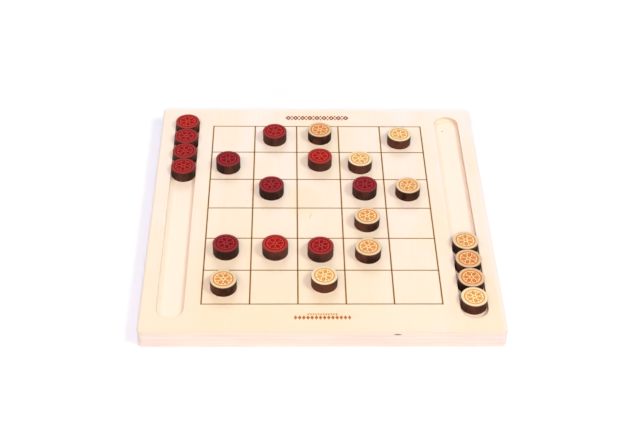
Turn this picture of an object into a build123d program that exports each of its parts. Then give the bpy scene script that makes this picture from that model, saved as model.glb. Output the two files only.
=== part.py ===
from build123d import *
import os

# A wooden board game for two players: one plywood board with a grid of play squares burnt into its
# top and a trough down each side, and two sets of loose playing discs, one stained red and one natural.
#
# All sizes are in millimetres. X runs to the right, Y away from the near player and Z up.
# The origin is under the middle of the board, on the surface that the board stands on.
# "Near" is the edge with the smaller Y and "far" is the edge with the larger Y.

# Play squares
COLUMNS = 5
ROWS = 6
SQUARE = 40.0                # from one grid line to the next
UPRIGHT_LINE_WIDTH = 1.0     # burnt grid lines along Y
ACROSS_LINE_WIDTH = 0.85     # burnt grid lines along X
LINE_DEPTH = 0.35

# Playing discs
DISC_DIAMETER = 22.4
DISC_HEIGHT = 10.4
DISC_EDGE_BREAK = 0.35       # small chamfer on both rims

# Board
BOARD_THICKNESS = 18.0
CORNER_RADIUS = 4.5          # the four corners, seen from above
TOP_EDGE_ROUND = 0.5
BOTTOM_EDGE_ROUND = 0.7
FAR_MARGIN = 29.0            # from the grid to the far edge
NEAR_MARGIN = 31.5           # from the grid to the near edge
SIDE_MARGIN = 13.4           # from a trough to the side edge
GRID_TO_TROUGH = 14.1        # if the grid lay in the board's middle
GRID_MIDDLE_X = -0.25        # the burnt marks lie a little to the left of it

# Troughs
TROUGH_DISC_CLEARANCE = 0.3  # on each side of a disc that lies in the trough's middle
TROUGH_DEPTH = 4.5
TROUGH_OVERRUN = 16.0        # how far a trough runs past the grid at each end
TROUGH_FOOT_RADIUS = 0.5     # where the wall meets the floor
TROUGH_RIM_ROUND = 0.3

# Discs that wait in the troughs, counted from the trough's end
WAITING_COUNT = 4
WAITING_OFF_MIDDLE = 0.15    # how far they lie to the right of the trough's middle
RED_END_GAP = 4.7            # from the far end of the left trough to the first red disc
RED_DISC_GAP = 0.2           # between two waiting red discs
NATURAL_END_GAP = 7.6        # from the near end of the right trough to the first natural disc
NATURAL_DISC_GAP = 0.5

# Discs in play: column from the left, row from the far edge, and how far off the square's middle they lie
RED_IN_PLAY = [
    (2, 1, -1.0, -0.5),
    (1, 2, -3.8, -2.4),
    (3, 2, 1.3, 2.0),
    (2, 3, -3.3, 1.1),
    (4, 3, 1.3, 1.3),
    (1, 5, -1.7, 2.8),
    (2, 5, 0.7, 2.4),
    (3, 5, -0.3, 0.0),
]
NATURAL_IN_PLAY = [
    (3, 1, 1.9, 1.9),
    (5, 1, -2.4, -4.5),
    (4, 2, -1.3, -1.6),
    (5, 3, 0.6, 0.1),
    (4, 4, 1.5, -1.4),
    (4, 5, 0.6, -1.4),
    (1, 6, -2.1, -0.8),
    (3, 6, 2.2, 3.4),
]

# Rosette burnt into the top of each disc
ROSETTE_DEPTH = 0.3
BARE_RIM = 2.6               # plain wood between the disc's side and the ring
RING_WIDTH = 0.9
RING_TO_PETAL = 0.6
PETAL_COUNT = 6
PETAL_START = 1.9            # distance of a petal's inner tip from the disc's middle
PETAL_WIDTH = 2.9
SEED_DIAMETER = 1.5          # dots between the petals
SEED_INSET = 1.9             # from the ring to the middle of a dot
HEART_DIAMETER = 1.8         # dot in the middle
TURN_STEP = 137.5            # degrees that each disc's rosette is turned on from the last one's
RED_START_TURN = 0.0         # degrees, before the first red disc's step
NATURAL_START_TURN = 60.0    # degrees, before the first natural disc's step

# Ornament rows burnt into the margins
ORNAMENT_DEPTH = 0.3
FAR_ROW_TO_GRID = 13.6
LOZENGE_COUNT = 9
LOZENGE_PITCH = 7.0
LOZENGE_WIDTH = 6.4
LOZENGE_HEIGHT = 7.0
LOZENGE_STROKE = 2.1         # of the hollow lozenges, along X
SPACER_DIAMETER = 1.8        # dots above and below the gaps between lozenges
SPACER_OFFSET = 2.5
NEAR_ROW_TO_GRID = 15.4
DIAMOND_COUNT = 14
DIAMOND_PITCH = 3.4
DIAMOND_WIDTH = 3.0
DIAMOND_HEIGHT = 4.8
BEAD_ROW_TO_GRID = 11.5
BEAD_COUNT = 12
BEAD_PITCH = 2.1
BEAD_DIAMETER = 1.4

# Sizes that follow from the ones above
GRID_WIDTH = COLUMNS * SQUARE
GRID_LENGTH = ROWS * SQUARE
TROUGH_WIDTH = DISC_DIAMETER + 2 * TROUGH_DISC_CLEARANCE
TROUGH_LENGTH = GRID_LENGTH + 2 * TROUGH_OVERRUN
TROUGH_X = GRID_WIDTH / 2 + GRID_TO_TROUGH + TROUGH_WIDTH / 2
TROUGH_FLOOR = BOARD_THICKNESS - TROUGH_DEPTH
BOARD_WIDTH = 2 * (TROUGH_X + TROUGH_WIDTH / 2 + SIDE_MARGIN)
BOARD_LENGTH = GRID_LENGTH + FAR_MARGIN + NEAR_MARGIN
GRID_MIDDLE_Y = (NEAR_MARGIN - FAR_MARGIN) / 2


def in_a_row(shape, count, pitch):
    """Return copies of a flat shape, spaced along X about the origin."""
    first = -pitch * (count - 1) / 2
    return [Pos(first + pitch * number, 0) * shape for number in range(count)]


def in_a_ring(shape, count, first_turn):
    """Return copies of a flat shape, turned about the origin in equal steps."""
    return [Rot(0, 0, first_turn + 360 / count * number) * shape for number in range(count)]


def lozenge(width, height):
    """Return a flat lozenge that stands on one of its points."""
    corners = [(width / 2, 0), (0, height / 2), (-width / 2, 0), (0, -height / 2)]
    return Polygon(*corners)


def grid_lines():
    """Return the burnt lines between and around the play squares, flat, about the grid's middle."""
    upright = Rectangle(UPRIGHT_LINE_WIDTH, GRID_LENGTH + ACROSS_LINE_WIDTH)
    across = Rectangle(GRID_WIDTH + UPRIGHT_LINE_WIDTH, ACROSS_LINE_WIDTH)
    lines = Sketch() + in_a_row(upright, COLUMNS + 1, SQUARE)
    first = -GRID_LENGTH / 2
    return lines + [Pos(0, first + SQUARE * number) * across for number in range(ROWS + 1)]


def far_ornament():
    """Return the row of hollow lozenges with dots between them, flat, about its own middle."""
    slope = LOZENGE_HEIGHT / LOZENGE_WIDTH
    inner_width = LOZENGE_WIDTH - 2 * LOZENGE_STROKE
    hollow = lozenge(LOZENGE_WIDTH, LOZENGE_HEIGHT) - lozenge(inner_width, inner_width * slope)
    spacer = Circle(SPACER_DIAMETER / 2)
    spacers = [Pos(0, side * SPACER_OFFSET) * row
               for side in (-1, 1)
               for row in in_a_row(spacer, LOZENGE_COUNT - 1, LOZENGE_PITCH)]
    return Sketch() + in_a_row(hollow, LOZENGE_COUNT, LOZENGE_PITCH) + spacers


def near_ornament():
    """Return the row of small solid lozenges and the row of beads, flat, about the grid's near line."""
    diamonds = in_a_row(lozenge(DIAMOND_WIDTH, DIAMOND_HEIGHT), DIAMOND_COUNT, DIAMOND_PITCH)
    beads = in_a_row(Circle(BEAD_DIAMETER / 2), BEAD_COUNT, BEAD_PITCH)
    return (Sketch()
            + [Pos(0, -NEAR_ROW_TO_GRID) * diamond for diamond in diamonds]
            + [Pos(0, -BEAD_ROW_TO_GRID) * bead for bead in beads])


def trough_cut():
    """Return the solid that a trough takes out of the board, standing on its floor, along Y."""
    slot = extrude(SlotOverall(TROUGH_LENGTH, TROUGH_WIDTH, rotation=90), TROUGH_DEPTH)
    foot = slot.faces().sort_by(Axis.Z)[0].edges()
    return fillet(foot, TROUGH_FOOT_RADIUS)


def board():
    """Return the plywood board with its troughs, its burnt grid and its ornament rows."""
    sheet = extrude(RectangleRounded(BOARD_WIDTH, BOARD_LENGTH, CORNER_RADIUS), BOARD_THICKNESS)
    sheet = fillet(sheet.faces().sort_by(Axis.Z)[-1].edges(), TOP_EDGE_ROUND)
    sheet = fillet(sheet.faces().sort_by(Axis.Z)[0].edges(), BOTTOM_EDGE_ROUND)
    for side in (-1, 1):
        sheet -= Pos(side * TROUGH_X, GRID_MIDDLE_Y, TROUGH_FLOOR) * trough_cut()
    rims = sheet.faces().sort_by(Axis.Z)[-1].inner_wires()
    sheet = fillet([edge for rim in rims for edge in rim.edges()], TROUGH_RIM_ROUND)

    top_of_grid = Pos(GRID_MIDDLE_X, GRID_MIDDLE_Y, BOARD_THICKNESS)
    far_row = top_of_grid * Pos(0, GRID_LENGTH / 2 + FAR_ROW_TO_GRID)
    near_rows = top_of_grid * Pos(0, -GRID_LENGTH / 2)
    sheet -= top_of_grid * extrude(grid_lines(), -LINE_DEPTH)
    sheet -= far_row * extrude(far_ornament(), -ORNAMENT_DEPTH)
    sheet -= near_rows * extrude(near_ornament(), -ORNAMENT_DEPTH)
    return sheet


def petal(tip):
    """Return one flat petal along X, from PETAL_START to its outer tip, between two arcs."""
    start = (PETAL_START, 0)
    end = (tip, 0)
    return make_face([SagittaArc(start, end, PETAL_WIDTH / 2), SagittaArc(end, start, PETAL_WIDTH / 2)])


def rosette():
    """Return the ring, petals and dots that are burnt into a disc, flat, about the disc's middle."""
    ring_outside = DISC_DIAMETER / 2 - BARE_RIM
    ring_inside = ring_outside - RING_WIDTH
    petals = in_a_ring(petal(ring_inside - RING_TO_PETAL), PETAL_COUNT, 0)
    seed = Pos(ring_inside - SEED_INSET, 0) * Circle(SEED_DIAMETER / 2)
    seeds = in_a_ring(seed, PETAL_COUNT, 180 / PETAL_COUNT)
    ring = Circle(ring_outside) - Circle(ring_inside)
    return ring + petals + seeds + Circle(HEART_DIAMETER / 2)


def disc():
    """Return one playing disc that stands on Z = 0, with the rosette in its top face."""
    blank = extrude(Circle(DISC_DIAMETER / 2), DISC_HEIGHT)
    blank = chamfer(blank.edges().filter_by(GeomType.CIRCLE), DISC_EDGE_BREAK)
    return blank - Pos(0, 0, DISC_HEIGHT) * extrude(rosette(), -ROSETTE_DEPTH)


def in_play(places):
    """Return the position of each disc that lies on the grid."""
    positions = []
    for column, row, off_x, off_y in places:
        x = GRID_MIDDLE_X + (column - (COLUMNS + 1) / 2) * SQUARE + off_x
        y = GRID_MIDDLE_Y + ((ROWS + 1) / 2 - row) * SQUARE + off_y
        positions.append(Pos(x, y, BOARD_THICKNESS))
    return positions


def waiting(side, end, end_gap, disc_gap):
    """Return the positions in one trough: side is -1 left or 1 right, end is 1 far or -1 near."""
    first = TROUGH_LENGTH / 2 - end_gap - DISC_DIAMETER / 2
    pitch = DISC_DIAMETER + disc_gap
    x = side * TROUGH_X + WAITING_OFF_MIDDLE
    return [Pos(x, GRID_MIDDLE_Y + end * (first - pitch * number), TROUGH_FLOOR)
            for number in range(WAITING_COUNT)]


def save(shape, name):
    """Write one sub-part, named after its node."""
    shape.label = name
    export_step(shape, f"parts/{name}.step")


def save_discs(name, positions, start_turn):
    """Write one set of discs, each turned a step on from the one before it."""
    blank = disc()
    for number, position in enumerate(positions, start=1):
        save(position * Rot(0, 0, start_turn + TURN_STEP * number) * blank, f"{name}_{number:02d}")


os.makedirs("parts", exist_ok=True)
red_positions = in_play(RED_IN_PLAY) + waiting(-1, 1, RED_END_GAP, RED_DISC_GAP)
natural_positions = in_play(NATURAL_IN_PLAY) + waiting(1, -1, NATURAL_END_GAP, NATURAL_DISC_GAP)
save(board(), "board")
save_discs("red_disc", red_positions, RED_START_TURN)
save_discs("natural_disc", natural_positions, NATURAL_START_TURN)
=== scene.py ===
import math

import bpy
import numpy as np
from mathutils import Matrix, Vector


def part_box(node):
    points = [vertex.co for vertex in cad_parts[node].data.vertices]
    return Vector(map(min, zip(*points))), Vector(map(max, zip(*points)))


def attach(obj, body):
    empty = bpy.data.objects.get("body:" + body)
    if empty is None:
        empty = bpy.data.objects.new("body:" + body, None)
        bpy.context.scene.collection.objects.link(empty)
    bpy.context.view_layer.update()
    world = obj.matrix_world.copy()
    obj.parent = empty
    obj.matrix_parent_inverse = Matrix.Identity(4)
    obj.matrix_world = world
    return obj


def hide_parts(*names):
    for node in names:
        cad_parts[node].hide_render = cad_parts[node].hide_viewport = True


# Looks of a wooden board game: a plywood board with a burnt grid and two troughs, and loose discs with
# charred sides, one set stained red and one left natural. All lengths here are metres unless a comment
# says otherwise. X runs to the right, Y away from the near player and Z up.

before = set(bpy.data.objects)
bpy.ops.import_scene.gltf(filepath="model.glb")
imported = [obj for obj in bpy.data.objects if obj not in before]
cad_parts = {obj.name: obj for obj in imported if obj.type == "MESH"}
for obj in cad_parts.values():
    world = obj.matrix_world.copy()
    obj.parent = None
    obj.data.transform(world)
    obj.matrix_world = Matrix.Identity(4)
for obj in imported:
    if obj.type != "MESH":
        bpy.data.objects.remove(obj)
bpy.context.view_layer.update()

MM = 0.001


def paint(red, green, blue):
    """Return the linear colour of a display colour given from 0 to 255."""
    shares = [value / 255 for value in (red, green, blue)]
    linear = (((share + 0.055) / 1.055) ** 2.4 if share > 0.04045 else share / 12.92 for share in shares)
    return (*linear, 1)


# Sizes read from the frame
BOARD_LOW, BOARD_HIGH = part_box("board")
BOARD_TOP = BOARD_HIGH.z
RED_DISCS = sorted(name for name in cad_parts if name.startswith("red_disc"))
NATURAL_DISCS = sorted(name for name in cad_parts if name.startswith("natural_disc"))

# Grid of play squares
SQUARE = 40 * MM
COLUMNS = 5
ROWS = 6
GRID_MIDDLE_X = -0.25 * MM
GRID_MIDDLE_Y = 1.25 * MM
GRID_HALF_WIDTH = COLUMNS * SQUARE / 2
GRID_HALF_LENGTH = ROWS * SQUARE / 2
UPRIGHT_LINE_WIDTH = 1.0 * MM
ACROSS_LINE_WIDTH = 0.85 * MM

# Burnt marks, told apart by where they lie: the solid board has them as shallow pockets
BURNT_BELOW = 0.06 * MM          # a surface this far under the top is the floor or wall of a burnt pocket
SHALLOW = 1 * MM                 # burnt pockets are shallower than this, the troughs deeper
BESIDE_GRID = 4 * MM             # no burnt pocket lies further than this beside the grid,
ORNAMENT_REACH = 20 * MM         # or further than this past its ends,
ORNAMENT_FROM = 2 * MM           # and one that starts further than this past an end is ornament
SCORCH_REACH = 0.7 * MM          # the light scorch on each side of a burnt line
SCORCH_PAST_GRID = 1 * MM        # how far it goes on past the outermost lines
CROSSING_BURN = 1.5 * MM         # radius of the darker burn where two lines cross
FAR_ROW_Y = 134.85 * MM          # the ornament row at the far edge
NEAR_ROW_Y = -132.4 * MM         # and at the near edge, between the lozenges and the beads
SMOKE_HALF_WIDTH = 6 * MM        # the smoke stain round a burnt ornament row
SMOKE_HALF_LENGTH = 32 * MM

# Troughs, each a long hole with round ends
TROUGH_X = 125.6 * MM            # from the board's middle to a trough's
TROUGH_HALF_WIDTH = 11.5 * MM
TROUGH_HALF_LENGTH = 136 * MM
TROUGH_DEPTH = 4.5 * MM
TROUGH_SLACK = 1 * MM            # the trough's finish reaches this far past its wall and under its floor
TROUGH_FOOT = 4.5 * MM           # painted shade: the floor is painted a little darker within this of the wall,
TROUGH_FOOT_LEAN = 1.2 * MM      # and within this much more on the left-hand side,
FOOT_LEAN_SPREAD = 4 * MM        # which starts and ends this far from the trough's middle
PALE_END_FROM = 2 * MM           # the near end has none of that painted shade up to here,
PALE_END_TO = 12 * MM            # and the whole of it from here on
WALL_TOP = 1.8 * MM              # the end walls have their upper colour, painted shade, down to here,
WALL_FOOT = 3.8 * MM             # and their lower one, paler painted light, from here down

# Patterns in the wood, in units a metre
FIBRES_ACROSS, FIBRES_ALONG = 850, 22
FLECKS_ACROSS, FLECKS_ALONG = 3200, 160
CLOUDS = (34, 11, 34)
BLUSHES = (18, 18, 90)
GLUE_GAPS = (30, 30, 300)
ASH_GRAINS = (700, 700, 700)
BURN_PATCHES = (30, 30, 30)
FIBRE_RELIEF = 0.05 * MM         # how deep the fibres seem

# Plies on the outer edges
PLY = 1.8 * MM
GLUE_HALF_WIDTH = 0.2 * MM
GLUE_GREY_FROM = 70 * MM         # the glue lines turn from brown to grey between here
GLUE_GREY_TO = 125 * MM          # and here, towards the right
CORNER_FROM = 105 * MM           # the end grain turns greyer between here and a corner,
CORNER_TO = 148 * MM
CREAM_FROM = 12 * MM             # and creamier from this height
CREAM_TO = 17.5 * MM             # up to this one
CORE_GAP_X = 60.5 * MM           # a hollow gap in one ply of the near edge, shown as painted shade
CORE_GAP_DEPTH = 3.2 * MM
CORE_GAP_HALF_LENGTH = 3.9 * MM
CORE_GAP_HALF_HEIGHT = 0.75 * MM
CORE_GAP_REACH = 2 * MM          # it goes this far into the board

# Marks and tones of the sheet's face
PIN_KNOT = (121.8 * MM, 120.1 * MM)
PIN_KNOT_RADIUS = 0.6 * MM
MINERAL_STREAK = (-8.4 * MM, -9.5 * MM)
MINERAL_STREAK_HALF_LENGTH = 5 * MM
MINERAL_STREAK_HALF_WIDTH = 1.1 * MM
MINERAL_STREAK_LEAN = 13         # degrees clockwise from the grain
# The face's rise in yellow towards the near edge is partly wood tone and partly painted light: its far part
# is left paler, as a painted sheen
HONEY_AND_SHEEN_FROM_Y = 100 * MM          # from here the sheet gets yellower towards the near edge, partly as painted light,
HONEY_AND_SHEEN_MIDDLE_X = 90 * MM         # there least beyond this on the right, and less beyond it on the left
HONEY_BAND_X = 8 * MM            # middle of a broad band of yellower wood along the grain
HONEY_BAND_HALF_WIDTH = 60 * MM
HONEY_CLOUDS = (                 # the middle, half width, half length and share of some yellower clouds
    (-14 * MM, 10 * MM, 26 * MM, 36 * MM, 0.85),
    (128 * MM, -128 * MM, 44 * MM, 105 * MM, 0.75),
    (107 * MM, -20 * MM, 12 * MM, 90 * MM, 0.5),
    (143 * MM, 75 * MM, 10 * MM, 40 * MM, 0.45),
)
PAINTED_LIGHT_RIM = 5.5 * MM              # painted light: the top is painted paler over this much along its right and far edges,
PAINTED_SHADE_RIM = 2.2 * MM              # and painted shade: darker over this much along its left and near edges

# Colours of the plywood's face
VENEER_PALE = paint(255, 244, 231)
VENEER_CREAM = paint(254, 239, 215)
VENEER_HONEY = paint(253, 234, 200)
VENEER_FIBRE = paint(249, 227, 200)
VENEER_FLECK = paint(232, 196, 158)
# Painted light and shade along the face's rims: paler tones on the right and far edges, darker on the left
# and near ones
RIGHT_RIM_PAINTED_LIGHT = paint(240, 242, 240)
FAR_RIM_PAINTED_LIGHT = paint(248, 247, 241)
LEFT_RIM_PAINTED_SHADE = paint(212, 200, 194)
NEAR_RIM_PAINTED_SHADE = paint(222, 204, 190)
KNOT_BROWN = paint(110, 66, 36)
STREAK_GREY = paint(206, 186, 140)

# Colours of the troughs. Their walls carry painted light and shade by the way they face: pale on the left,
# where they face the right lamp, tan on the right, where they face away from it, and grey-green at the ends,
# painted paler towards the foot
TROUGH_FLOOR = paint(254, 239, 219)
# Painted shade on the troughs' floors at the foot of their walls
TROUGH_FOOT_PAINTED_SHADE = paint(214, 194, 156)
# Painted light and shade of the troughs' walls, by the way they face
LEFT_WALL_PAINTED_LIGHT = paint(255, 252, 244)
LEFT_CORNER_PAINTED_LIGHT = paint(242, 236, 216)
END_WALL_TOP_PAINTED_SHADE, END_WALL_FOOT_PAINTED_LIGHT = paint(216, 212, 190), paint(236, 236, 222)
RIGHT_CORNER_TOP_PAINTED_SHADE, RIGHT_CORNER_FOOT_PAINTED_SHADE = paint(222, 198, 162), paint(236, 216, 190)
RIGHT_WALL_PAINTED_SHADE = paint(242, 214, 196)

# Colours of the plywood's outer edges
END_GRAIN = paint(241, 239, 232)
END_GRAIN_BLUSH = paint(243, 231, 225)
END_GRAIN_CORNER = paint(234, 234, 236)
END_GRAIN_UPPER = paint(240, 235, 213)
END_ON_PLY = paint(236, 202, 188)
GLUE_BROWN = paint(196, 152, 120)
GLUE_GREY = paint(178, 158, 158)
# Painted shade for the hollow gap in the near edge
CORE_GAP_PAINTED_SHADE = paint(48, 24, 16)

# Colours of the burnt marks. Pairs are for clean burn and for ash
LINE_BROWN = (paint(92, 40, 10), paint(118, 56, 20))
LINE_FAINT = paint(146, 82, 36)
CROSSING_BROWN = paint(50, 30, 18)
FAR_ROW_BROWN = (paint(126, 44, 0), paint(166, 70, 2))
NEAR_ROW_BROWN = (paint(166, 86, 8), paint(204, 122, 34))
SCORCH_GOLD = paint(240, 203, 102)
FAR_SMOKE = paint(252, 222, 170)
NEAR_SMOKE = paint(253, 216, 146)

# Disc rosette, the same as in the solid discs
TURN_STEP = 137.5                # degrees from one disc's rosette to the next
NATURAL_FIRST_TURN = 60
BARE_RIM = 2.6 * MM
RING_WIDTH = 0.9 * MM
RING_TO_PETAL = 0.6 * MM
PETALS = 6
PETAL_START = 1.9 * MM
PETAL_WIDTH = 2.9 * MM
SEED_DIAMETER = 1.5 * MM
SEED_INSET = 1.9 * MM
HEART_DIAMETER = 1.8 * MM
ROSETTE_DEPTH = 0.3 * MM
MIDRIB_WIDTH = 0.35 * MM

# Borders of a disc's finishes, from where each begins to where it is whole. Those of the rosette's finishes
# are counted into the cut, and the others inwards from the side or from the bare rim
CUT_WALL = (-0.06 * MM, 0.1 * MM)
BURN_BORDER = (-0.12 * MM, 0.1 * MM)
SCORCH_BORDER = (-0.3 * MM, 0)
FIELD_BORDER = 0.2 * MM
CHAR_BORDER = (0.14 * MM, 0.03 * MM)
STAIN_RUN = 2.2 * MM             # how far down the side the top's stain runs
CHAR_RELIEF = 0.06 * MM          # how deep the fibres and the streaks in the char seem
WOOD_SPREAD = 3                  # how many times further apart than the discs their pieces of wood lie

# Each disc's shade in order of number
SHADES = {"pale": 0.0, "middle": 0.5, "dark": 1.0}
RED_SHADES = "middle dark pale dark dark dark pale middle pale middle middle middle".split()
NATURAL_SHADES = "dark pale pale middle middle middle middle pale pale dark dark middle".split()

# Colours of the discs. Pairs are for a pale and for a dark disc
NATURAL_COLOURS = {
    "rim": (paint(246, 230, 188), paint(226, 196, 152)),
    "field": (paint(251, 238, 168), paint(248, 211, 142)),
    "burnt": (paint(222, 150, 84), paint(208, 112, 58)),
    "soot": paint(36, 21, 17),
    "ember": paint(92, 57, 44),
    "run": paint(112, 68, 46),
}
RED_COLOURS = {
    "rim": (paint(172, 60, 52), paint(140, 50, 52)),
    "field": (paint(208, 66, 54), paint(167, 52, 58)),
    "burnt": (paint(142, 6, 8), paint(110, 3, 8)),
    "soot": paint(44, 28, 24),
    "ember": paint(88, 54, 44),
    "run": paint(116, 44, 40),
}
CHAR_STREAK = paint(110, 76, 58)

# Disc mesh
EDGE_BREAK = 0.35 * MM
TURNS = 192
TOP_RINGS = 76
SIDE_RINGS = 10
EDGE_RINGS = 3
BOTTOM_RINGS = 4
ROUNDING = 0.001 * MM            # heights closer than this are the same

# Camera of the photograph, in the frame of a 640 by 427 picture
CAMERA_PLACE = (-29.23 * MM, -830.68 * MM, 749.21 * MM)
CAMERA_YAW = 2.034               # degrees to the right of +Y
CAMERA_PITCH = 41.547            # degrees below the horizon
CAMERA_ROLL = 1.43               # degrees
CAMERA_LENS = 69.34              # millimetres, on a sensor of this width
SENSOR_WIDTH = 36.0

# Lamps, each a round soft box aimed at the board: turn in degrees left of +X, height in degrees above the
# floor, distance, size across, the share of light that it gives the board's top, where all the light
# together is 1, and its tint
LAMPS = (
    dict(name="front_lamp", turn=266, height=46, distance=4.5, size=2.6, share=0.34, tint=(1.35, 1, 0.9)),
    dict(name="right_lamp", turn=331, height=52, distance=4.5, size=1.2, share=0.27, tint=(0.85, 1, 1.02)),
    dict(name="left_lamp", turn=205, height=48, distance=4.5, size=1.6, share=0.07, tint=(1, 1, 1)),
    dict(name="back_lamp", turn=90, height=38, distance=4.5, size=2.0, share=0.12, tint=(0.8, 1, 1.25)),
)
SURROUND_LIGHT = (0.23, 0.215, 0.225)

# Floor
FLOOR_HALF_SIDE = 3.0
FLOOR_PLAIN = (0.9, 0.9, 0.92)   # its colour for the light that it throws back on the object
FLOOR_SEEN = (0.99, 1.03, 1.025)     # how bright the camera sees it in plain light of strength 1
FLOOR_LIT = (0.93, 0.82, 0.44)   # the part of that which comes from the lamps, so that a shadow darkens it
FLOOR_RISE_FROM = 0.19           # metres from the board's middle; from here the floor is seen brighter,
FLOOR_RISE_TO = 0.6              # up to here, so that it stays white where the lamps light it less
FLOOR_RISE = 0.45


class Finish:
    """A material in the making. Each method adds one node or a few, and most return what these give."""

    def __init__(self, name):
        self.material = bpy.data.materials.new(name)
        self.material.use_nodes = True
        self.nodes = self.material.node_tree.nodes
        self.links = self.material.node_tree.links
        self.shader = self.nodes["Principled BSDF"]

    def feed(self, socket, value):
        """Link another node's socket to an input, or write a plain value on it."""
        if isinstance(value, bpy.types.NodeSocket):
            self.links.new(value, socket)
        else:
            socket.default_value = value

    def maths(self, operation, *values):
        """Return one calculation on numbers."""
        node = self.nodes.new("ShaderNodeMath")
        node.operation = operation
        for socket, value in zip(node.inputs, values):
            self.feed(socket, value)
        return node.outputs[0]

    def product(self, first, *others):
        """Return the product of some numbers."""
        for other in others:
            first = self.maths("MULTIPLY", first, other)
        return first

    def distance(self, value, middle):
        """Return how far a number lies from middle, to either side."""
        return self.maths("ABSOLUTE", self.maths("SUBTRACT", value, middle))

    def diagonal(self, across, along):
        """Return the length that two lengths at right angles make together."""
        squares = self.maths("ADD", self.maths("POWER", across, 2), self.maths("POWER", along, 2))
        return self.maths("SQRT", squares)

    def between(self, share, first, second):
        """Return the number between first and second, at that share of second."""
        rest = self.maths("SUBTRACT", 1, share)
        return self.maths("ADD", self.product(first, rest), self.product(second, share))

    def fade(self, value, low, high, at_low=0.0, at_high=1.0):
        """Return a number that turns smoothly from at_low to at_high while value goes from low to high."""
        node = self.nodes.new("ShaderNodeMapRange")
        node.interpolation_type = "SMOOTHSTEP"
        for socket, number in zip(node.inputs, (value, low, high, at_low, at_high)):
            self.feed(socket, number)
        return node.outputs[0]

    def blend(self, share, first, second):
        """Return the colour between first and second, at that share of second."""
        node = self.nodes.new("ShaderNodeMix")
        node.data_type = "RGBA"
        # A Mix node has a socket for each kind of value: inputs 6 and 7 and output 2 are the colours
        self.feed(node.inputs[0], share)
        self.feed(node.inputs[6], first)
        self.feed(node.inputs[7], second)
        return node.outputs[2]

    def stretch(self, place, per_metre, shift=(0, 0, 0)):
        """Return coordinates with that many pattern units a metre along each axis."""
        node = self.nodes.new("ShaderNodeMapping")
        self.feed(node.inputs["Vector"], place)
        node.inputs["Location"].default_value = shift
        node.inputs["Scale"].default_value = per_metre
        return node.outputs[0]

    def noise(self, place, detail=3.0, roughness=0.5, distortion=0.0):
        """Return cloudy noise from 0 to 1."""
        node = self.nodes.new("ShaderNodeTexNoise")
        self.feed(node.inputs["Vector"], place)
        node.inputs["Scale"].default_value = 1
        node.inputs["Detail"].default_value = detail
        node.inputs["Roughness"].default_value = roughness
        node.inputs["Distortion"].default_value = distortion
        return node.outputs[0]

    def object_place(self):
        """Return the place on the object, in metres, and its three parts."""
        place = self.nodes.new("ShaderNodeTexCoord").outputs["Object"]
        return place, *self.parts(place)

    def facing(self):
        """Return the three parts of the direction that the surface faces."""
        return self.parts(self.nodes.new("ShaderNodeTexCoord").outputs["Normal"])

    def parts(self, vector):
        """Return the X, Y and Z parts of a vector."""
        node = self.nodes.new("ShaderNodeSeparateXYZ")
        self.feed(node.inputs[0], vector)
        return tuple(node.outputs)

    def attribute(self, name, output="Fac"):
        """Return a value that is stored on the mesh."""
        node = self.nodes.new("ShaderNodeAttribute")
        node.attribute_name = name
        return node.outputs[output]

    def bump(self, height, distance, strength):
        """Raise and lower the surface's shading by height, which runs from 0 to 1, times distance."""
        node = self.nodes.new("ShaderNodeBump")
        node.inputs["Strength"].default_value = strength
        node.inputs["Distance"].default_value = distance
        self.feed(node.inputs["Height"], height)
        self.feed(self.shader.inputs["Normal"], node.outputs[0])

    def finish(self, colour, roughness, sheen):
        """Give the surface its colour and roughness, and the strength of its plain reflection."""
        self.feed(self.shader.inputs["Base Color"], colour)
        self.feed(self.shader.inputs["Roughness"], roughness)
        self.shader.inputs["Specular IOR Level"].default_value = sheen
        return self.material


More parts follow.
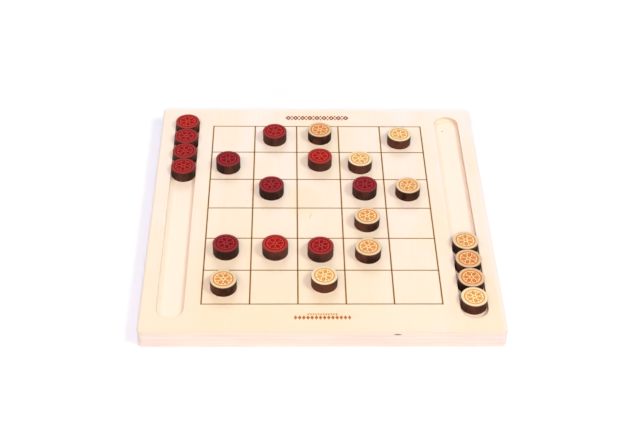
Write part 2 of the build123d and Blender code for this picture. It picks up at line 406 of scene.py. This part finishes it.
def plywood():
    """Return the board's material: pale veneer, two troughs, plies on the edges and burnt marks, with painted
    light and shade on the rims, the troughs and a gap in the near edge.
    """
    make = Finish("plywood_sanded")
    place, x, y, z = make.object_place()
    facing = make.facing()
    steep = make.fade(make.maths("ABSOLUTE", facing[2]), 0.75, 0.35)
    depth, turned = plies(make, z)
    fibres = grain(make, place, turned, FIBRES_ACROSS, FIBRES_ALONG, (3, 7, 1), detail=4, roughness=0.6)
    flecks = grain(make, place, turned, FLECKS_ACROSS, FLECKS_ALONG, (5, 2, 9), detail=2, roughness=0.5)

    # The underside has none of the face's marks: upper is 1 down to just under the troughs' floors, then 0
    upper = make.maths("GREATER_THAN", z, BOARD_TOP - TROUGH_DEPTH - TROUGH_SLACK)
    colour = veneer(make, place, x, y, fibres, flecks)
    # Painted light and shade along the face's rims
    colour = painted_rim_light_and_shade(make, colour, x, y, upper)

    from_middle = from_trough_middle(make, x, y)
    in_trough = make.maths("LESS_THAN", from_middle, TROUGH_HALF_WIDTH + TROUGH_SLACK)
    sunk = make.fade(z, BOARD_TOP - SHALLOW, BOARD_TOP - 3 * SHALLOW)
    sunk = make.product(in_trough, sunk, upper)
    colour = make.blend(make.product(sunk, 0.9), colour, TROUGH_FLOOR)
    # Painted shade on the floor along the foot of each trough's wall
    foot = make.product(trough_foot_painted_shade(make, x, y, from_middle), sunk, make.fade(steep, 0, 1, 0.3, 0))
    colour = make.blend(foot, colour, TROUGH_FOOT_PAINTED_SHADE)
    # Painted light and shade on the troughs' walls, by the way each wall faces
    colour = make.blend(make.product(steep, in_trough, 0.95), colour, trough_wall_painted_light_and_shade(make, z, facing[0]))

    outer = make.product(steep, make.maths("SUBTRACT", 1, in_trough))
    colour = make.blend(make.product(outer, 0.85), colour, end_grain(make, place, x, z))
    end_on = make.between(turned, make.maths("ABSOLUTE", facing[1]), make.maths("ABSOLUTE", facing[0]))
    colour = make.blend(make.product(end_on, outer, 0.12), colour, END_ON_PLY)
    glue = make.blend(make.fade(x, GLUE_GREY_FROM, GLUE_GREY_TO), GLUE_BROWN, GLUE_GREY)
    colour = make.blend(make.product(glue_lines(make, place, depth), outer), colour, glue)

    # Painted shade for a hollow gap in one ply of the near edge
    colour = make.blend(core_gap(make, x, y, z), colour, CORE_GAP_PAINTED_SHADE)
    colour = make.blend(make.product(upper, pin_knot(make, x, y)), colour, KNOT_BROWN)
    colour = make.blend(make.product(upper, mineral_streak(make, x, y)), colour, STREAK_GREY)
    colour = make.blend(make.product(smoke(make, x, y, FAR_ROW_Y), upper, 0.25), colour, FAR_SMOKE)
    colour = make.blend(make.product(smoke(make, x, y, NEAR_ROW_Y), upper, 0.6), colour, NEAR_SMOKE)
    colour = burnt_marks(make, colour, place, x, y, z)

    make.bump(make.between(0.35, fibres, flecks), FIBRE_RELIEF, 0.6)
    return make.finish(colour, roughness=make.fade(fibres, 0.3, 0.7, 0.5, 0.62), sheen=0.3)


def plies(make, z):
    """Return the depth under the nearer face, and 1 in every second ply, whose grain is turned, else 0."""
    middle = BOARD_TOP / 2
    depth = make.maths("SUBTRACT", middle, make.distance(z, middle))
    return depth, make.maths("MODULO", make.maths("FLOOR", make.maths("DIVIDE", depth, PLY)), 2)


def grain(make, place, turned, across, along, shift, detail, roughness):
    """Return noise that is drawn out along Y, and along X in the turned plies."""
    straight = make.noise(make.stretch(place, (across, along, across)), detail, roughness)
    crossed = make.noise(make.stretch(place, (along, across, across), shift), detail, roughness)
    return make.between(turned, straight, crossed)


def veneer(make, place, x, y, fibres, flecks):
    """Return the colour of the sanded face: pale, with soft yellower clouds and fine fibres along the grain,
    and yellower towards the near edge partly as painted light.
    """
    cloud = make.noise(make.stretch(place, CLOUDS), distortion=0.8)
    colour = make.blend(make.fade(cloud, 0.3, 0.72), VENEER_PALE, VENEER_CREAM)
    colour = make.blend(honey_and_painted_sheen(make, x, y), colour, VENEER_HONEY)
    colour = make.blend(make.fade(fibres, 0.42, 0.72, 0.0, 0.2), colour, VENEER_FIBRE)
    return make.blend(make.fade(flecks, 0.62, 0.8, 0.0, 0.14), colour, VENEER_FLECK)


def honey_and_painted_sheen(make, x, y):
    """Return the share of yellower wood.

    The sheet is yellower along a broad band and in a few clouds, and towards the near edge, there less so
    towards the right and at the left-hand side. The band and clouds are wood tone. The rise towards the near
    edge is partly wood tone and partly painted light, with the far part left paler as if under a sheen.
    """
    near = make.product(make.fade(y, HONEY_AND_SHEEN_FROM_Y, BOARD_LOW.y, 0.0, 0.9),
                        make.fade(x, 0, HONEY_AND_SHEEN_MIDDLE_X, 1.0, 0.35),
                        make.fade(x, BOARD_LOW.x, -HONEY_AND_SHEEN_MIDDLE_X, 0.5, 1.0))
    band = make.fade(make.distance(x, HONEY_BAND_X), HONEY_BAND_HALF_WIDTH, 0, 0.0, 0.45)
    share = make.maths("MAXIMUM", near, band)
    for middle_x, middle_y, half_width, half_length, most in HONEY_CLOUDS:
        away = oval(make, x, y, (middle_x, middle_y), half_width, half_length)
        share = make.maths("MAXIMUM", share, make.fade(away, 1.0, 0.35, 0.0, most))
    return share


def painted_rim_light_and_shade(make, colour, x, y, upper):
    """Return the face's colour with painted light and shade along its sanded rims, paler on the right and far
    edges and darker on the left and near ones, on the upper side only.
    """
    rims = (
        (make.maths("SUBTRACT", BOARD_HIGH.x, x), PAINTED_LIGHT_RIM, 0.5, RIGHT_RIM_PAINTED_LIGHT),
        (make.maths("SUBTRACT", BOARD_HIGH.y, y), PAINTED_LIGHT_RIM, 0.75, FAR_RIM_PAINTED_LIGHT),
        (make.maths("SUBTRACT", x, BOARD_LOW.x), PAINTED_SHADE_RIM, 0.42, LEFT_RIM_PAINTED_SHADE),
        (make.maths("SUBTRACT", y, BOARD_LOW.y), PAINTED_SHADE_RIM, 0.2, NEAR_RIM_PAINTED_SHADE),
    )
    for inward, reach, share, tone in rims:
        rim = make.fade(inward, reach, 0.3 * reach, 0.0, share)
        colour = make.blend(make.product(upper, rim), colour, tone)
    return colour


def oval(make, across, along, middle, half_width, half_length):
    """Return the distance from the middle of an upright oval, counted so that it is 1 on the oval."""
    across = make.maths("DIVIDE", make.maths("SUBTRACT", across, middle[0]), half_width)
    along = make.maths("DIVIDE", make.maths("SUBTRACT", along, middle[1]), half_length)
    return make.diagonal(across, along)


def from_trough_middle(make, x, y):
    """Return the distance from the middle line of the nearer trough, the same all along its wall."""
    past = make.maths("SUBTRACT", make.distance(y, GRID_MIDDLE_Y), TROUGH_HALF_LENGTH - TROUGH_HALF_WIDTH)
    off_middle = make.maths("SUBTRACT", make.maths("ABSOLUTE", x), TROUGH_X)
    return make.diagonal(off_middle, make.maths("MAXIMUM", past, 0))


def trough_foot_painted_shade(make, x, y, from_middle):
    """Return the share of painted shade on the floor near a trough's wall, wider on the left and fading at
    the near end.
    """
    off_middle = make.maths("SUBTRACT", make.maths("ABSOLUTE", x), TROUGH_X)
    rightward = make.maths("MULTIPLY", off_middle, make.maths("SIGN", x))
    lean = make.fade(rightward, -FOOT_LEAN_SPREAD, FOOT_LEAN_SPREAD, TROUGH_FOOT_LEAN, 0)
    away = make.maths("ADD", from_middle, lean)
    foot = make.fade(away, TROUGH_HALF_WIDTH - TROUGH_FOOT, TROUGH_HALF_WIDTH)
    near_end = GRID_MIDDLE_Y - TROUGH_HALF_LENGTH
    return make.product(foot, make.fade(y, near_end + PALE_END_FROM, near_end + PALE_END_TO))


def trough_wall_painted_light_and_shade(make, z, facing_x):
    """Return the painted light and shade of a trough's wall by the way that it faces; its ends are painted
    paler towards the foot.
    """
    up_wall = make.fade(z, BOARD_TOP - WALL_FOOT, BOARD_TOP - WALL_TOP)
    end_wall = make.blend(up_wall, END_WALL_FOOT_PAINTED_LIGHT, END_WALL_TOP_PAINTED_SHADE)
    right_corner = make.blend(up_wall, RIGHT_CORNER_FOOT_PAINTED_SHADE, RIGHT_CORNER_TOP_PAINTED_SHADE)
    # Painted light where the wall faces the right lamp, painted shade where it faces away
    wall = make.blend(make.fade(facing_x, 0.5, 0.0), LEFT_CORNER_PAINTED_LIGHT, end_wall)
    wall = make.blend(make.fade(facing_x, 0.85, 0.98), wall, LEFT_WALL_PAINTED_LIGHT)
    wall = make.blend(make.fade(facing_x, -0.4, -0.85), wall, right_corner)
    return make.blend(make.fade(facing_x, -0.8, -1.0), wall, RIGHT_WALL_PAINTED_SHADE)


def end_grain(make, place, x, z):
    """Return the colour of the outer edges: blushed here and there, greyer at the corners, creamy up high."""
    blush = make.fade(make.noise(make.stretch(place, BLUSHES), detail=2), 0.35, 0.7)
    colour = make.blend(blush, END_GRAIN, END_GRAIN_BLUSH)
    to_corner = make.fade(make.maths("ABSOLUTE", x), CORNER_FROM, CORNER_TO, 0.0, 0.45)
    colour = make.blend(to_corner, colour, END_GRAIN_CORNER)
    return make.blend(make.fade(z, CREAM_FROM, CREAM_TO, 0.0, 0.8), colour, END_GRAIN_UPPER)


def glue_lines(make, place, depth):
    """Return the share of glue line between two plies: broken here and there, and none by the faces."""
    to_glue = make.maths("PINGPONG", depth, PLY / 2)
    line = make.fade(to_glue, GLUE_HALF_WIDTH, 0.25 * GLUE_HALF_WIDTH)
    broken = make.fade(make.noise(make.stretch(place, GLUE_GAPS), detail=2), 0.48, 0.7, 0.04, 0.5)
    inside = make.fade(depth, PLY / 2, PLY * 2 / 3)
    return make.product(line, broken, inside)


def core_gap(make, x, y, z):
    """Return the share of painted shade standing in for a hollow gap in one ply of the near edge: a thin
    ellipse in X and Z, darkest inside.
    """
    middle = (CORE_GAP_X, BOARD_TOP - CORE_GAP_DEPTH)
    radius = oval(make, x, z, middle, CORE_GAP_HALF_LENGTH, CORE_GAP_HALF_HEIGHT)
    near = make.maths("LESS_THAN", y, BOARD_LOW.y + CORE_GAP_REACH)
    return make.product(make.fade(radius, 1.1, 0.45), near)


def pin_knot(make, x, y):
    """Return the share of a small round knot in the right trough's floor."""
    return make.fade(oval(make, x, y, PIN_KNOT, PIN_KNOT_RADIUS, PIN_KNOT_RADIUS), 1.4, 0.6)


def mineral_streak(make, x, y):
    """Return the share of a faint grey streak on the face: a long soft ellipse that leans from the grain."""
    lean = math.tan(math.radians(MINERAL_STREAK_LEAN))
    away_y = make.maths("SUBTRACT", y, MINERAL_STREAK[1])
    upright_x = make.maths("SUBTRACT", x, make.product(away_y, lean))
    radius = oval(make, upright_x, y, MINERAL_STREAK, MINERAL_STREAK_HALF_WIDTH, MINERAL_STREAK_HALF_LENGTH)
    return make.fade(radius, 1.3, 0.0, 0.0, 0.4)


def smoke(make, x, y, row_y):
    """Return the share of the faint smoke stain on the face round a burnt ornament row."""
    beside = make.fade(make.distance(y, row_y), SMOKE_HALF_WIDTH, 0.0)
    return make.product(beside, make.fade(make.maths("ABSOLUTE", x), SMOKE_HALF_LENGTH, 0))


def burnt_marks(make, colour, place, x, y, z):
    """Return the colour with the burnt lines, the scorch beside them and the burnt ornament rows."""
    from_middle_x = make.maths("SUBTRACT", x, GRID_MIDDLE_X)
    from_middle_y = make.maths("SUBTRACT", y, GRID_MIDDLE_Y)
    away_x = make.maths("ABSOLUTE", from_middle_x)
    away_y = make.maths("ABSOLUTE", from_middle_y)
    near_top = make.maths("GREATER_THAN", z, BOARD_TOP - SHALLOW)

    # The distance to the nearest line, from a zigzag that is 0 on each line
    to_upright = make.maths("PINGPONG", make.maths("SUBTRACT", from_middle_x, GRID_HALF_WIDTH), SQUARE / 2)
    to_across = make.maths("PINGPONG", from_middle_y, SQUARE / 2)
    upright_half, across_half = UPRIGHT_LINE_WIDTH / 2, ACROSS_LINE_WIDTH / 2
    scorch = make.maths("MAXIMUM",
                        make.fade(to_upright, upright_half + SCORCH_REACH, upright_half, 0.0, 0.72),
                        make.fade(to_across, across_half + SCORCH_REACH, across_half, 0.0, 0.5))
    scorch = make.product(scorch, near_top,
                          make.maths("LESS_THAN", away_x, GRID_HALF_WIDTH + SCORCH_PAST_GRID),
                          make.maths("LESS_THAN", away_y, GRID_HALF_LENGTH + SCORCH_PAST_GRID))
    colour = make.blend(scorch, colour, SCORCH_GOLD)

    pocket = make.product(make.fade(z, BOARD_TOP - 0.2 * BURNT_BELOW, BOARD_TOP - BURNT_BELOW), near_top,
                          make.maths("LESS_THAN", away_x, GRID_HALF_WIDTH + BESIDE_GRID),
                          make.maths("LESS_THAN", away_y, GRID_HALF_LENGTH + ORNAMENT_REACH))
    ash = make.fade(make.noise(make.stretch(place, ASH_GRAINS), detail=3), 0.35, 0.65)
    faint = make.fade(make.noise(make.stretch(place, BURN_PATCHES), detail=1), 0.35, 0.65, 0.0, 0.25)
    brown = make.blend(faint, make.blend(ash, *LINE_BROWN), LINE_FAINT)
    crossing = make.fade(make.diagonal(to_upright, to_across), CROSSING_BURN, 0.3 * CROSSING_BURN)
    brown = make.blend(make.product(crossing, 0.8), brown, CROSSING_BROWN)
    far = make.maths("GREATER_THAN", y, 0)
    row_brown = make.blend(far, make.blend(ash, *NEAR_ROW_BROWN), make.blend(ash, *FAR_ROW_BROWN))
    ornament = make.maths("GREATER_THAN", away_y, GRID_HALF_LENGTH + ORNAMENT_FROM)
    return make.blend(pocket, colour, make.blend(ornament, brown, row_brown))


def disc_wood(name, rim, field, burnt, soot, ember, run):
    """Return a disc's material: a grained top, a burnt rosette and a charred side.

    The colours of the bare rim, of the ground inside the ring and of the rosette are pairs, for a pale and
    a dark disc. The mesh stores own_place, the place on the unturned disc; wood_shift, which gives each disc
    wood of its own; tone, from 0 for pale to 1; burn, the share of rosette, and scorch, the same with a soft
    border; field, the share of lightly burnt ground inside the ring; char, the share of charred side; and
    drop, the share of the stain's run under the top rim. The side is soot, with ember patches, and run
    colours the stain's run.
    """
    make = Finish(name)
    shifted = make.nodes.new("ShaderNodeVectorMath")
    shifted.operation = "ADD"
    make.feed(shifted.inputs[0], make.attribute("own_place", "Vector"))
    make.feed(shifted.inputs[1], make.attribute("wood_shift", "Vector"))
    place = shifted.outputs[0]
    char = make.attribute("char")

    fibres = make.noise(make.stretch(place, (60, 1400, 1400)), detail=4, roughness=0.6, distortion=0.3)
    cloud = make.noise(make.stretch(place, (90, 240, 240)), detail=2)
    tone = make.attribute("tone")
    bare, ground, stroke = (make.blend(tone, pale, dark) for pale, dark in (rim, field, burnt))
    bare = make.blend(make.fade(fibres, 0.4, 0.7, 0.0, 0.3), bare, rim[1])
    ground = make.blend(make.fade(cloud, 0.35, 0.7, 0.0, 0.3), ground, bare)
    colour = make.blend(make.attribute("field"), bare, ground)
    colour = make.blend(make.product(make.attribute("scorch"), 0.5), colour, stroke)
    colour = make.blend(make.attribute("burn"), colour, stroke)

    # A dark disc's side has fewer ember patches, and the stain's run ends unevenly, as the patches lie
    streaks = make.noise(make.stretch(place, (2600, 2600, 70)), detail=3, roughness=0.6)
    patches = make.noise(make.stretch(place, (100, 100, 60)), detail=2)
    glow = make.maths("SUBTRACT", make.fade(patches, 0.3, 0.75, 0.3, 1.45), make.product(tone, 0.65))
    side = make.blend(glow, soot, ember)
    side = make.blend(make.fade(streaks, 0.45, 0.8, 0.0, 0.25), side, CHAR_STREAK)
    run_end = make.maths("ADD", make.attribute("drop"), make.maths("SUBTRACT", patches, 0.5))
    side = make.blend(make.product(make.fade(run_end, 0.35, 0.75), 0.6), side, run)
    colour = make.blend(char, colour, side)

    make.bump(make.between(char, fibres, streaks), CHAR_RELIEF, 0.6)
    return make.finish(colour, roughness=make.between(char, 0.55, 0.5), sheen=0.05)


def smooth_step(value, low, high):
    """Return 0 below low and 1 above high, with an S-shaped curve between; low may be above high."""
    share = np.clip((value - low) / (high - low), 0, 1)
    return share * share * (3 - 2 * share)


def rosette(x, y, outside):
    """Return how far inside the nearest cut each point lies, in metres, above 0 within a cut.

    The cuts are a ring, petals between two equal arcs with a midrib left standing, a dot between each two
    petals and one in the middle. Petals repeat, so the angle is folded into one petal's share first.
    """
    radius = np.hypot(x, y)
    angle = np.arctan2(y, x)
    share = 2 * np.pi / PETALS
    ring_inside = outside - RING_WIDTH
    ring = RING_WIDTH / 2 - np.abs(radius - (outside + ring_inside) / 2)

    tip = ring_inside - RING_TO_PETAL
    half_length = (tip - PETAL_START) / 2
    half_width = PETAL_WIDTH / 2
    arc_radius = (half_length ** 2 + half_width ** 2) / (2 * half_width)
    folded = np.mod(angle + share / 2, share) - share / 2
    along = radius * np.cos(folded) - (tip + PETAL_START) / 2
    across = np.abs(radius * np.sin(folded))
    petal = arc_radius - np.hypot(along, across + arc_radius - half_width)
    petal = np.minimum(petal, across - MIDRIB_WIDTH / 2)

    between = np.mod(angle, share) - share / 2
    seed_radius = ring_inside - SEED_INSET
    seed = SEED_DIAMETER / 2 - np.hypot(radius * np.cos(between) - seed_radius, radius * np.sin(between))
    heart = HEART_DIAMETER / 2 - radius
    return np.maximum.reduce([ring, petal, seed, heart])


def disc_section(radius, height):
    """Return R and Z along half a disc's section, from under its middle, round the rims, to its top's middle.

    The rims are quarter circles of EDGE_BREAK.
    """
    quarter = np.linspace(0, np.pi / 2, EDGE_RINGS + 2)
    inner = radius - EDGE_BREAK
    under = np.linspace(0, inner, BOTTOM_RINGS + 1)[1:-1]
    side = np.linspace(EDGE_BREAK, height - EDGE_BREAK, SIDE_RINGS + 2)[1:-1]
    top = np.linspace(inner, 0, TOP_RINGS + 1)[1:-1]
    r = np.concatenate([under, inner + EDGE_BREAK * np.sin(quarter), np.full(SIDE_RINGS, radius),
                        inner + EDGE_BREAK * np.cos(quarter), top])
    z = np.concatenate([np.zeros(len(under)), EDGE_BREAK * (1 - np.cos(quarter)), side,
                        height - EDGE_BREAK * (1 - np.sin(quarter)), np.full(len(top), height)])
    return r, z


def turned_mesh(name, rings, bottom, top):
    """Return a closed mesh from rings of points, shaped (rings, turns, 3), and the two points that close it.

    Each ring joins the next with quads, and the first and last ring fan in to the bottom and the top point.
    """
    ring_count, turn_count = rings.shape[:2]
    points = np.concatenate([rings.reshape(-1, 3), [bottom], [top]])
    index = np.arange(ring_count * turn_count).reshape(ring_count, turn_count)
    onward = np.roll(index, -1, axis=1)
    quads = np.stack([index[:-1], onward[:-1], onward[1:], index[1:]], -1).reshape(-1, 4)
    bottom_fan = np.stack([np.full(turn_count, len(points) - 2), onward[0], index[0]], -1)
    top_fan = np.stack([np.full(turn_count, len(points) - 1), index[-1], onward[-1]], -1)
    corners = np.concatenate([quads.ravel(), bottom_fan.ravel(), top_fan.ravel()])
    sizes = np.concatenate([np.full(len(quads), 4), np.full(2 * turn_count, 3)])

    mesh = bpy.data.meshes.new(name)
    mesh.vertices.add(len(points))
    mesh.vertices.foreach_set("co", points.astype(np.float32).ravel())
    mesh.loops.add(len(corners))
    mesh.loops.foreach_set("vertex_index", corners.astype(np.int32))
    mesh.polygons.add(len(sizes))
    mesh.polygons.foreach_set("loop_start", (np.cumsum(sizes) - sizes).astype(np.int32))
    mesh.polygons.foreach_set("use_smooth", np.ones(len(sizes), bool))
    mesh.update(calc_edges=True)
    mesh.validate()
    return mesh


def store(mesh, name, values):
    """Store one number or one vector for each point of a mesh."""
    values = np.asarray(values, np.float32)
    if values.ndim == 1:
        mesh.attributes.new(name, "FLOAT", "POINT").data.foreach_set("value", values)
    else:
        mesh.attributes.new(name, "FLOAT_VECTOR", "POINT").data.foreach_set("vector", values.ravel())


def make_disc(node, turn_degrees, tone, material):
    """Stand a detailed disc in for a CAD disc: its section turned about its axis, with the rosette sunk in.

    A point at share s along the section and turn t lies at (r(s) cos t, r(s) sin t, z(s)), lowered on the
    top face by ROSETTE_DEPTH times a smooth step of its distance inside the nearest cut.
    """
    low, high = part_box(node)
    radius = (high.y - low.y) / 2
    height = high.z - low.z
    centre = np.array([(low.x + high.x) / 2, (low.y + high.y) / 2, low.z])
    r, z = disc_section(radius, height)
    turns = np.arange(TURNS) * 2 * np.pi / TURNS
    flat_x = np.append(np.outer(r, np.cos(turns)).ravel(), [0, 0])
    flat_y = np.append(np.outer(r, np.sin(turns)).ravel(), [0, 0])
    level = np.append(np.repeat(z, TURNS), [0, height])

    on_top = level > height - ROUNDING
    inside = rosette(flat_x, flat_y, radius - BARE_RIM)
    level = level - ROSETTE_DEPTH * smooth_step(inside, *CUT_WALL) * on_top
    own = np.stack([flat_x, flat_y, level], -1)

    angle = math.radians(turn_degrees)
    turned = np.stack([flat_x * math.cos(angle) - flat_y * math.sin(angle),
                       flat_x * math.sin(angle) + flat_y * math.cos(angle), level], -1) + centre
    mesh = turned_mesh(node + "_finished", turned[:-2].reshape(len(r), TURNS, 3), turned[-2], turned[-1])
    from_axis = np.hypot(flat_x, flat_y)
    field_edge = radius - BARE_RIM
    store(mesh, "own_place", own)
    store(mesh, "wood_shift", np.tile(centre * WOOD_SPREAD + turn_degrees * MM, (len(own), 1)))
    store(mesh, "burn", smooth_step(inside, *BURN_BORDER) * on_top)
    store(mesh, "scorch", smooth_step(inside, *SCORCH_BORDER) * on_top)
    store(mesh, "field", smooth_step(from_axis, field_edge, field_edge - FIELD_BORDER) * on_top)
    store(mesh, "char", smooth_step(from_axis, radius - CHAR_BORDER[0], radius - CHAR_BORDER[1]))
    store(mesh, "drop", smooth_step(level, height - STAIN_RUN, height - EDGE_BREAK))
    store(mesh, "tone", np.full(len(own), tone))
    mesh.materials.append(material)

    piece = bpy.data.objects.new(node + "_finished", mesh)
    bpy.context.scene.collection.objects.link(piece)
    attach(piece, node)
    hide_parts(node)


def make_floor():
    """Lay a pale floor under the object. The camera sees it as white with a soft shadow on it."""
    mesh = bpy.data.meshes.new("floor")
    corners = [(x * FLOOR_HALF_SIDE, y * FLOOR_HALF_SIDE, 0) for x, y in ((-1, -1), (1, -1), (1, 1), (-1, 1))]
    mesh.from_pydata(corners, [], [(0, 1, 2, 3)])
    floor = bpy.data.objects.new("floor", mesh)
    bpy.context.scene.collection.objects.link(floor)

    make = Finish("floor_white")
    make.nodes.remove(make.shader)
    output = make.nodes["Material Output"]
    plain = make.nodes.new("ShaderNodeBsdfDiffuse")
    plain.inputs["Color"].default_value = (*FLOOR_PLAIN, 1)
    shaded = make.nodes.new("ShaderNodeBsdfDiffuse")
    shaded.inputs["Color"].default_value = (*FLOOR_LIT, 1)
    away = make.nodes.new("ShaderNodeVectorMath")
    away.operation = "LENGTH"
    make.feed(away.inputs[0], make.object_place()[0])
    rise = make.fade(away.outputs["Value"], FLOOR_RISE_FROM, FLOOR_RISE_TO)
    inner = [seen - lit for seen, lit in zip(FLOOR_SEEN, FLOOR_LIT)]
    outer = [part + FLOOR_RISE for part in inner]
    glow = make.nodes.new("ShaderNodeEmission")
    make.feed(glow.inputs["Color"], make.blend(rise, (*inner, 1), (*outer, 1)))
    both = make.nodes.new("ShaderNodeAddShader")
    make.links.new(shaded.outputs[0], both.inputs[0])
    make.links.new(glow.outputs[0], both.inputs[1])
    choose = make.nodes.new("ShaderNodeMixShader")
    make.links.new(in_sight(make.nodes, make.links), choose.inputs[0])
    make.links.new(plain.outputs[0], choose.inputs[1])
    make.links.new(both.outputs[0], choose.inputs[2])
    make.links.new(choose.outputs[0], output.inputs["Surface"])
    mesh.materials.append(make.material)


def in_sight(nodes, links):
    """Return 1 for a ray from the camera, straight, through glass or by reflection, and else 0."""
    path = nodes.new("ShaderNodeLightPath")
    share = path.outputs["Is Camera Ray"]
    for other in ("Is Glossy Ray", "Is Transmission Ray"):
        either = nodes.new("ShaderNodeMath")
        either.operation = "MAXIMUM"
        links.new(share, either.inputs[0])
        links.new(path.outputs[other], either.inputs[1])
        share = either.outputs[0]
    return share


def make_surround():
    """Surround the object with weak even light. The camera and reflections see it as white."""
    world = bpy.data.worlds.new("surround")
    bpy.context.scene.world = world
    world.use_nodes = True
    nodes, links = world.node_tree.nodes, world.node_tree.links
    lit = nodes["Background"]
    lit.inputs["Color"].default_value = (*SURROUND_LIGHT, 1)
    seen = nodes.new("ShaderNodeBackground")
    seen.inputs["Color"].default_value = (1, 1, 1, 1)
    choose = nodes.new("ShaderNodeMixShader")
    links.new(in_sight(nodes, links), choose.inputs[0])
    links.new(lit.outputs[0], choose.inputs[1])
    links.new(seen.outputs[0], choose.inputs[2])
    links.new(choose.outputs[0], nodes["World Output"].inputs["Surface"])


def make_lamp(name, turn, height, distance, size, share, tint):
    """Hang a round soft box that gives the board's top its share of the light.

    A disc of power P that faces a place at a distance d lights a level surface there, at a height of h
    degrees, as brightly as white light of strength P sin h / (pi d) squared.
    """
    turn, height = math.radians(turn), math.radians(height)
    lamp = bpy.data.lights.new(name, "AREA")
    lamp.shape = "DISK"
    lamp.size = size
    lamp.color = tint
    lamp.energy = share * (math.pi * distance) ** 2 / math.sin(height)
    holder = bpy.data.objects.new(name, lamp)
    away = Vector((math.cos(turn) * math.cos(height), math.sin(turn) * math.cos(height), math.sin(height)))
    holder.location = away * distance
    holder.rotation_mode = "QUATERNION"
    holder.rotation_quaternion = (-away).to_track_quat("-Z", "Y")
    bpy.context.scene.collection.objects.link(holder)


def make_camera():
    """Stand the camera where the photograph was taken from."""
    yaw, pitch, roll = (math.radians(angle) for angle in (CAMERA_YAW, CAMERA_PITCH, CAMERA_ROLL))
    forward = Vector((math.sin(yaw) * math.cos(pitch), math.cos(yaw) * math.cos(pitch), -math.sin(pitch)))
    level_right = Vector((math.cos(yaw), -math.sin(yaw), 0))
    level_up = level_right.cross(forward)
    right = level_right * math.cos(roll) + level_up * math.sin(roll)
    up = level_up * math.cos(roll) - level_right * math.sin(roll)
    data = bpy.data.cameras.new("camera")
    data.sensor_fit = "HORIZONTAL"
    data.sensor_width = SENSOR_WIDTH
    data.lens = CAMERA_LENS
    camera = bpy.data.objects.new("camera", data)
    turn = Matrix((right, up, -forward)).transposed().to_4x4()
    camera.matrix_world = Matrix.Translation(CAMERA_PLACE) @ turn
    bpy.context.scene.collection.objects.link(camera)
    bpy.context.scene.camera = camera


bpy.context.scene.view_settings.view_transform = "Standard"
make_camera()
make_surround()
for lamp in LAMPS:
    make_lamp(**lamp)
make_floor()

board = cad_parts["board"]
board.data.materials.clear()
board.data.materials.append(plywood())

natural_wood = disc_wood("disc_natural", **NATURAL_COLOURS)
red_wood = disc_wood("disc_red", **RED_COLOURS)
for number, (node, shade) in enumerate(zip(NATURAL_DISCS, NATURAL_SHADES), start=1):
    make_disc(node, NATURAL_FIRST_TURN + TURN_STEP * number, SHADES[shade], natural_wood)
for number, (node, shade) in enumerate(zip(RED_DISCS, RED_SHADES), start=1):
    make_disc(node, TURN_STEP * number, SHADES[shade], red_wood)
